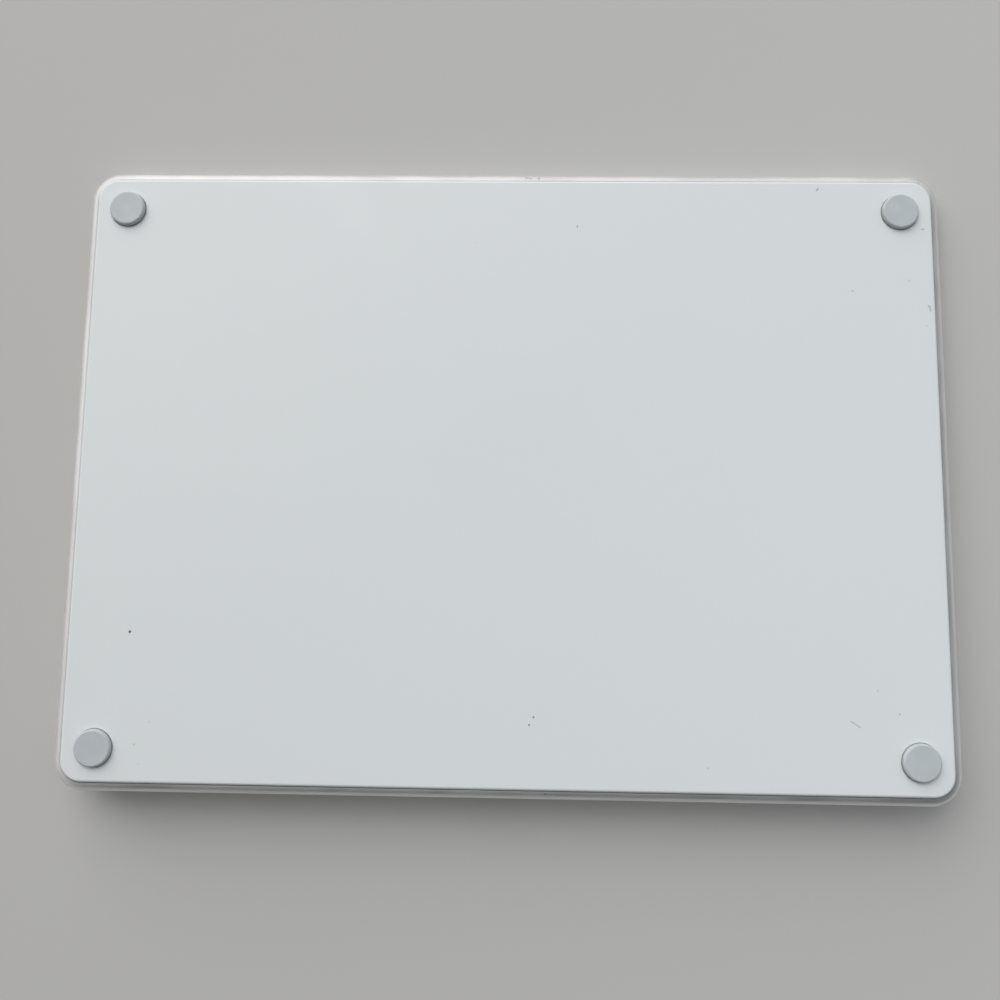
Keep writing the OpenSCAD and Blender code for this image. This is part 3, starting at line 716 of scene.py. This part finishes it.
FINISHES = (
    MarkedFinish(
        slot=Slot.COVER,
        colour=(0.712, 0.735, 0.738, 1.0),
        shade=(0.708, 0.731, 0.736, 1.0),
        roughness=(0.285, 0.315),
        cloud_mm=55.0,
        grain_mm=0.5,
        grain_height_mm=0.0015,
        speck_mm=0.16,
        speck_spacing_mm=9.0,
        speck_strength=0.16,
        marks=COVER_MARKS,
    ),
    AnodisedFinish(
        slot=Slot.ALUMINIUM,
        colour=(0.785, 0.785, 0.79, 1.0),
        shade=(0.745, 0.745, 0.75, 1.0),
        roughness=(0.44, 0.52),
        metallic=1.0,
        cloud_mm=14.0,
        grain_mm=0.12,
        grain_height_mm=0.012,
        marks=RIM_MARKS,
        level_mm=1.55,
    ),
    GlassFinish(
        slot=Slot.GLASS,
        colour=(0.765, 0.775, 0.785, 1.0),
        shade=(0.763, 0.773, 0.783, 1.0),
        roughness=(0.285, 0.31),
        ior=1.5,
        cloud_mm=60.0,
        grain_mm=0.2,
        grain_height_mm=0.0006,
        speck_strength=0.05,
    ),
    FootFinish(
        slot=Slot.RUBBER,
        colour=(0.50, 0.53, 0.545, 1.0),
        shade=(0.47, 0.50, 0.515, 1.0),
        roughness=(0.34, 0.42),
        cloud_mm=3.0,
        grain_mm=0.25,
        grain_height_mm=0.012,
        speck_spacing_mm=2.5,
        speck_strength=0.3,
    ),
    Finish(
        slot=Slot.BOND,
        colour=(0.55, 0.55, 0.53, 1.0),
        shade=(0.45, 0.45, 0.43, 1.0),
        roughness=(0.5, 0.7),
        cloud_mm=6.0,
        grain_mm=0.4,
        grain_height_mm=0.02,
    ),
    BandedFinish(
        slot=Slot.STEEL,
        colour=(0.62, 0.62, 0.63, 1.0),
        shade=(0.52, 0.52, 0.53, 1.0),
        roughness=(0.28, 0.42),
        metallic=1.0,
        pitch_mm=0.09,
        band_height_mm=0.002,
        groove_shade_share=0.08,
    ),
    BandedFinish(
        slot=Slot.BOARD,
        colour=(0.03, 0.16, 0.075, 1.0),
        shade=(0.02, 0.12, 0.06, 1.0),
        roughness=(0.3, 0.45),
        across=(0.7, 0.7, 0.0),
        pitch_mm=1.1,
        band_height_mm=0.03,
        groove_shade_share=0.3,
        grime_and_groove_shade=paint(16, 62, 40),
    ),
    Finish(
        slot=Slot.PLASTIC,
        colour=(0.028, 0.028, 0.03, 1.0),
        shade=(0.04, 0.04, 0.042, 1.0),
        roughness=(0.42, 0.56),
        cloud_mm=3.0,
        grain_mm=0.15,
        grain_height_mm=0.012,
        grime_and_groove_shade=paint(110, 106, 100),
    ),
    CoatedFinish(
        slot=Slot.FOIL,
        colour=(0.22, 0.22, 0.235, 1.0),
        shade=(0.16, 0.16, 0.17, 1.0),
        roughness=(0.3, 0.48),
        grain_mm=2.5,
        grain_height_mm=0.08,
    ),
    BandedFinish(
        slot=Slot.COPPER,
        colour=(0.72, 0.38, 0.19, 1.0),
        shade=(0.62, 0.31, 0.15, 1.0),
        roughness=(0.26, 0.4),
        metallic=1.0,
        across=(1.0, 0.0, 0.0),
        pitch_mm=0.25,
        band_height_mm=0.06,
        grime_and_groove_shade=paint(84, 42, 22),
    ),
    BandedFinish(
        slot=Slot.FILM,
        colour=(0.5, 0.23, 0.05, 1.0),
        shade=(0.44, 0.19, 0.04, 1.0),
        roughness=(0.24, 0.36),
        across=(1.0, 0.0, 0.0),
        pitch_mm=0.8,
        band_height_mm=0.02,
        groove_shade_share=0.35,
        grime_and_groove_shade=paint(120, 62, 24),
    ),
    Finish(
        slot=Slot.IRON,
        colour=(0.29, 0.29, 0.3, 1.0),
        shade=(0.23, 0.225, 0.22, 1.0),
        roughness=(0.45, 0.6),
        metallic=1.0,
        cloud_mm=4.0,
        grain_mm=0.2,
        grain_height_mm=0.02,
    ),
    CoatedFinish(
        slot=Slot.GREEN,
        colour=(0.1, 0.56, 0.14, 1.0),
        shade=(0.08, 0.5, 0.12, 1.0),
        roughness=(0.3, 0.4),
        cloud_mm=1.0,
        grain_mm=0.08,
    ),
)


class Wardrobe:
    """Holds one material per slot and puts them on pieces."""

    def __init__(self) -> None:
        """Builds every finish once."""
        shelf = EffectShelf()
        self._materials = {finish.slot: finish.material(shelf) for finish in FINISHES}

    def dress_node(self, node: str, slot: Slot) -> None:
        """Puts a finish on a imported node.

        Args:
            node: Name of the node.
            slot: Slot of the finish.
        """
        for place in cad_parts[node].material_slots:
            place.material = self._materials[slot]
        LOG.info("dressed %s in %s", node, slot.value)

    def dress_piece(self, piece: bpy.types.Object, slot: Slot) -> None:
        """Puts a finish on a new piece.

        Args:
            piece: The piece.
            slot: Slot of the finish.
        """
        piece.data.materials.append(self._materials[slot])
        LOG.info("dressed %s in %s", piece.name, slot.value)


class MeshShop:
    """Turns outlines into smooth closed meshes."""

    @staticmethod
    def add(name: str, mesh: bmesh.types.BMesh) -> bpy.types.Object:
        """Makes an object of a finished mesh.

        Args:
            name: Name of the piece.
            mesh: Its mesh, in the frame of the pad.

        Returns:
            The object, in the scene.
        """
        bmesh.ops.recalc_face_normals(mesh, faces=mesh.faces)
        data = bpy.data.meshes.new(name)
        mesh.to_mesh(data)
        mesh.free()
        made = bpy.data.objects.new(name, data)
        bpy.context.scene.collection.objects.link(made)
        return made

    @staticmethod
    def turn(
        mesh: bmesh.types.BMesh, profile: list[tuple[float, float]], centre: Vector, steps: int
    ) -> None:
        """Turns a profile about an upright line, from the axis out and back to the axis.

        Args:
            mesh: Mesh that takes the faces.
            profile: Points as radius and height; the first and last lie on the axis.
            centre: Foot of the axis.
            steps: Number of faces around.
        """
        angles = [2 * math.pi * i / steps for i in range(steps)]
        ends = [mesh.verts.new(centre + Vector((0, 0, profile[i][1]))) for i in (0, -1)]
        rings = [
            [mesh.verts.new(centre + Vector((r * math.cos(a), r * math.sin(a), z))) for a in angles]
            for r, z in profile[1:-1]
        ]
        for i in range(steps):
            j = (i + 1) % steps
            mesh.faces.new((ends[0], rings[0][j], rings[0][i]))
            mesh.faces.new((ends[1], rings[-1][i], rings[-1][j]))
            for lower, upper in zip(rings, rings[1:]):
                mesh.faces.new((lower[i], lower[j], upper[j], upper[i]))
        for face in mesh.faces:
            face.smooth = True


@dataclass
class Enclosure:
    """Housing, bottom cover and glass, with the films that bond them."""

    shell: str = "housing"
    cover: str = "bottom_cover"
    glass: str = "top_glass"
    bonds: tuple[str, ...] = ("cover_adhesive", "glass_adhesive")

    def build(self, wardrobe: Wardrobe) -> None:
        """Dresses the nodes of the enclosure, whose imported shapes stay."""
        wardrobe.dress_node(self.shell, Slot.ALUMINIUM)
        wardrobe.dress_node(self.cover, Slot.COVER)
        wardrobe.dress_node(self.glass, Slot.GLASS)
        for bond in self.bonds:
            wardrobe.dress_node(bond, Slot.BOND)


@dataclass
class FootSet:
    """Four round feet on sprung studs, each over a flexure with a strain gauge."""

    corners: tuple[str, ...] = ("front_left", "front_right", "rear_left", "rear_right")
    steps: int = 96
    arc_steps: int = 10
    shoulder_mm: float = 0.37
    shoulder_power: float = 1.8
    dish_mm: float = 0.015
    face_shares: tuple[float, ...] = (0.35, 0.65, 0.9, 0.975)
    draft_mm: float = 0.05

    def build(self, wardrobe: Wardrobe) -> None:
        """Makes the feet and dresses what carries them."""
        for corner in self.corners:
            self._foot(corner, wardrobe)
            wardrobe.dress_node("foot_stud_" + corner, Slot.STEEL)
            wardrobe.dress_node("flexure_" + corner, Slot.STEEL)
        wardrobe.dress_node("strain_gauges", Slot.FILM)
        wardrobe.dress_node("flexure_screws", Slot.STEEL)

    def _profile(self, radius: float, height: float) -> list[tuple[float, float]]:
        """Draws half of a foot's section.

        Args:
            radius: Radius of the foot.
            height: Height of the foot.

        Returns:
            Points as radius and height, from the axis below to the axis above.
        """
        arc = self.shoulder_mm * MM
        dish = self.dish_mm * MM
        ease = 2 / self.shoulder_power
        flat = radius - arc
        face = [(flat * share, dish * (1 - share * share)) for share in self.face_shares]
        angles = [math.pi / 2 * i / self.arc_steps for i in range(self.arc_steps + 1)]
        shoulder = [
            (flat + arc * math.sin(a) ** ease, arc - arc * abs(math.cos(a)) ** ease) for a in angles
        ]
        root = (radius + self.draft_mm * MM, height)
        return [(0.0, dish), *face, *shoulder, root, (0.0, height)]

    def _foot(self, corner: str, wardrobe: Wardrobe) -> None:
        """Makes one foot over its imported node.

        Args:
            corner: Name of the corner.
            wardrobe: Where its finish comes from.
        """
        node = "foot_" + corner
        low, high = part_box(node)
        mesh = bmesh.new()
        centre = Vector(((low.x + high.x) / 2, (low.y + high.y) / 2, low.z))
        MeshShop.turn(mesh, self._profile((high.x - low.x) / 2, high.z - low.z), centre, self.steps)
        foot = MeshShop.add("rubber_" + node, mesh)
        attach(foot, corner + "_foot")
        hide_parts(node)
        wardrobe.dress_piece(foot, Slot.RUBBER)


@dataclass
class RearEdge:
    """Charge port and power slider in the rear wall."""

    metal: tuple[str, ...] = ("power_slider",)
    steel: tuple[str, ...] = ("charge_port_shell",)
    dark: tuple[str, ...] = ("charge_port_insulator", "switch_module")

    def build(self, wardrobe: Wardrobe) -> None:
        """Dresses the port and the slider."""
        for node in self.metal:
            wardrobe.dress_node(node, Slot.ALUMINIUM)
        for node in self.steel:
            wardrobe.dress_node(node, Slot.STEEL)
        for node in self.dark:
            wardrobe.dress_node(node, Slot.PLASTIC)
        wardrobe.dress_node("charge_port_contacts", Slot.COPPER)
        wardrobe.dress_node("on_indicator", Slot.GREEN)


@dataclass
class Electronics:
    """Boards, shields and ribbons inside the housing."""

    boards: tuple[str, ...] = ("touch_sensor_board", "logic_board", "battery_guard_board")
    steel: tuple[str, ...] = ("stiffener_plate", "board_screws", "processor_shield", "radio_shield")
    films: tuple[str, ...] = ("battery_lead", "sensor_ribbon")

    def build(self, wardrobe: Wardrobe) -> None:
        """Dresses the boards and what is on them."""
        for node in self.boards:
            wardrobe.dress_node(node, Slot.BOARD)
        for node in self.steel:
            wardrobe.dress_node(node, Slot.STEEL)
        for node in self.films:
            wardrobe.dress_node(node, Slot.FILM)
        wardrobe.dress_node("board_connectors", Slot.PLASTIC)
        wardrobe.dress_node("antenna", Slot.COPPER)


@dataclass
class PowerPack:
    """Pouch cell and its tape."""

    cell: str = "battery_cell"
    tape: str = "battery_tape"

    def build(self, wardrobe: Wardrobe) -> None:
        """Dresses the cell and the tape."""
        wardrobe.dress_node(self.cell, Slot.FOIL)
        wardrobe.dress_node(self.tape, Slot.BOND)


@dataclass
class HapticDrive:
    """Actuator that shakes the glass from side to side."""

    steel: tuple[str, ...] = ("haptic_bracket", "haptic_springs")
    iron: tuple[str, ...] = ("haptic_cores", "haptic_shuttle")

    def build(self, wardrobe: Wardrobe) -> None:
        """Dresses the actuator."""
        for node in self.steel:
            wardrobe.dress_node(node, Slot.STEEL)
        for node in self.iron:
            wardrobe.dress_node(node, Slot.IRON)
        wardrobe.dress_node("haptic_coils", Slot.COPPER)


@dataclass(frozen=True)
class Lamp:
    """A lamp: the way to it from the pad, its power, its colour and its distance."""

    name: str
    way: Point
    power: float
    colour: tuple[float, float, float] = (1.0, 1.0, 1.0)
    reach: float = 1.0

    def light(self) -> bpy.types.Light:
        """Makes the light of the lamp; each kind of lamp has its own."""
        raise NotImplementedError

    def build(self) -> None:
        """Hangs the lamp and turns it to the pad."""
        data = self.light()
        data.energy = self.power
        data.color = self.colour
        lamp = bpy.data.objects.new(self.name, data)
        out = Vector(self.way).normalized()
        lamp.location = out * self.reach
        lamp.rotation_euler = (-out).to_track_quat("-Z", "Y").to_euler()
        bpy.context.scene.collection.objects.link(lamp)


@dataclass(frozen=True)
class FarLamp(Lamp):
    """A soft lamp so far off that it lights the whole floor evenly."""

    spread_deg: float = 30.0

    def light(self) -> bpy.types.Light:
        """Makes a sun with a wide face."""
        data = bpy.data.lights.new(self.name, "SUN")
        data.angle = math.radians(self.spread_deg)
        return data


@dataclass(frozen=True)
class PanelLamp(Lamp):
    """A square soft box near the pad."""

    side: float = 1.0

    def light(self) -> bpy.types.Light:
        """Makes a square area light."""
        data = bpy.data.lights.new(self.name, "AREA")
        data.size = self.side
        return data


@dataclass(frozen=True)
class View:
    """Main camera, looking up at the underside of the pad."""

    place_mm: Point = (2.625, 23.777, -159.808)
    aim_mm: Point = (-1.129, 4.875, 0.9)
    roll_deg: float = 0.8206
    lens_mm: float = 32.27
    sensor_mm: float = 36.0

    def build(self) -> None:
        """Places the camera, with the front edge of the pad at the top of the picture."""
        data = bpy.data.cameras.new("photo_camera")
        data.lens = self.lens_mm
        data.sensor_width = self.sensor_mm
        data.clip_start = MM
        camera = bpy.data.objects.new("photo_camera", data)
        place = Vector(self.place_mm) * MM
        back = (place - Vector(self.aim_mm) * MM).normalized()
        forward = Vector((0, -1, 0))
        up = (forward - back * forward.dot(back)).normalized()
        up = Matrix.Rotation(math.radians(self.roll_deg), 3, back) @ up
        turn = Matrix((up.cross(back), up, back)).transposed()
        camera.matrix_world = Matrix.Translation(place) @ turn.to_4x4()
        bpy.context.scene.collection.objects.link(camera)
        bpy.context.scene.camera = camera


@dataclass
class Stage:
    """Pale floors, soft lamps and a plain pale surround."""

    glass_floor_side: float = 1.2
    desk_floor_side: float = 40.0
    floor_sink_mm: float = 0.05
    front_band_mm: float = 0.5
    floor_colour: Colour = paint(191, 189, 186)
    backdrop: Colour = paint(184, 182.5, 179)
    bright_side: Colour = (0.56, 0.575, 0.58, 1.0)
    dim_side: Colour = (0.05, 0.045, 0.04, 1.0)
    camera_side: Colour = (0.3, 0.3, 0.3, 1.0)
    dim_way: Point = (0.35, 0.94, 0.0)
    dim_range: tuple[float, float] = (-0.7, 0.2)
    camera_range: tuple[float, float] = (-0.8, -0.98)
    backdrop_rise: float = 0.12
    lamps: tuple[Lamp, ...] = (
        PanelLamp("window_lamp", (-0.48, -0.82, -0.78), 36.5, reach=1.8, side=2.1),
        PanelLamp("side_lamp", (0.72, 0.1, -0.69), 0.7, (0.82, 0.92, 1.0), reach=0.46, side=0.6),
        FarLamp("overhead_lamp", (-0.22, -0.36, 1.0), 2.35, spread_deg=24.0),
    )

    def build(self) -> None:
        """Sets the stage around the pad."""
        self._floors()
        self._surround()
        for lamp in self.lamps:
            lamp.build()
        View().build()
        bpy.context.scene.view_settings.view_transform = "Standard"

    def _floors(self) -> None:
        """Lays the floor that the glass rests on, and the desk under the feet."""
        low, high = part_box("top_glass")
        front_top = self._front_top()
        slope = math.atan2(high.z - front_top, high.y - low.y)
        middle = Vector((0, 0, (high.z + front_top) / 2 - self.floor_sink_mm * MM))
        turned = Matrix.Translation(middle) @ Matrix.Rotation(slope + math.pi, 4, "X")
        level = Matrix.Translation((0, 0, -self.floor_sink_mm * MM))
        material = self._one_sided()
        self._floor("glass_floor", self.glass_floor_side, turned, material)
        self._floor("desk_floor", self.desk_floor_side, level, material)

    def _front_top(self) -> float:
        """Gives the height of the upper surface of the glass at its front edge."""
        points = [vertex.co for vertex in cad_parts["top_glass"].data.vertices]
        front = min(point.y for point in points)
        return max(point.z for point in points if point.y < front + self.front_band_mm * MM)

    @staticmethod
    def _floor(name: str, side: float, place: Matrix, material: bpy.types.Material) -> None:
        """Lays one square floor.

        Args:
            name: Name of the floor.
            side: Length of its side.
            place: Where it lies; its own +Z is the side that shows.
            material: Its material.
        """
        mesh = bmesh.new()
        bmesh.ops.create_grid(mesh, x_segments=1, y_segments=1, size=side / 2)
        data = bpy.data.meshes.new(name)
        mesh.to_mesh(data)
        mesh.free()
        data.materials.append(material)
        floor = bpy.data.objects.new(name, data)
        floor.matrix_world = place
        floor.visible_diffuse = False
        floor.visible_transmission = False
        floor.visible_shadow = False
        bpy.context.scene.collection.objects.link(floor)

    def _one_sided(self) -> bpy.types.Material:
        """Builds the floor's paint, which shows from its upper side only.

        Returns:
            The material.
        """
        made = bpy.data.materials.new("floor_paint")
        made.use_nodes = True
        made.node_tree.nodes.clear()
        wiring = Wiring(made.node_tree)
        flat = wiring.node("ShaderNodeBsdfDiffuse", {"Color": self.floor_colour}).outputs[0]
        clear = wiring.node("ShaderNodeBsdfTransparent").outputs[0]
        behind = wiring.node("ShaderNodeNewGeometry").outputs["Backfacing"]
        shown = wiring.node("ShaderNodeMixShader", {0: behind, 1: flat, 2: clear}).outputs[0]
        wiring.feed(wiring.node("ShaderNodeOutputMaterial").inputs["Surface"], shown)
        return made

    def _surround(self) -> None:
        """Fills the room with soft light, dimmer at the rear and behind the camera.

        To the camera, and in reflections above the horizon, it shows as a plain pale backdrop.
        """
        world = bpy.data.worlds.new("studio")
        bpy.context.scene.world = world
        world.use_nodes = True
        world.node_tree.nodes.clear()
        wiring = Wiring(world.node_tree)
        way = wiring.node("ShaderNodeTexCoord").outputs["Generated"]
        rearward = wiring.vector("DOT_PRODUCT", way, self.dim_way).outputs["Value"]
        height = wiring.node("ShaderNodeSeparateXYZ", {0: way}).outputs["Z"]
        room = wiring.mix(wiring.ramp(rearward, *self.dim_range), self.bright_side, self.dim_side)
        room = wiring.mix(wiring.ramp(height, *self.camera_range), room, self.camera_side)
        path = wiring.node("ShaderNodeLightPath").outputs
        mirrored = wiring.maths("MAXIMUM", path["Is Glossy Ray"], path["Is Transmission Ray"])
        above = wiring.maths("MULTIPLY", mirrored, wiring.ramp(height, 0.0, self.backdrop_rise))
        shown = wiring.maths("MAXIMUM", path["Is Camera Ray"], above)
        colour = wiring.mix(shown, room, self.backdrop)
        light = wiring.node("ShaderNodeBackground", {"Color": colour}).outputs[0]
        wiring.feed(wiring.node("ShaderNodeOutputWorld").inputs["Surface"], light)


def main() -> None:
    """Builds and dresses each sub-assembly, then sets the stage."""
    logging.basicConfig(level=logging.INFO, format="%(message)s")
    wardrobe = Wardrobe()
    for assembly in (Enclosure(), FootSet(), RearEdge(), Electronics(), PowerPack(), HapticDrive()):
        assembly.build(wardrobe)
    Stage().build()


if __name__ == "__main__":
    main()
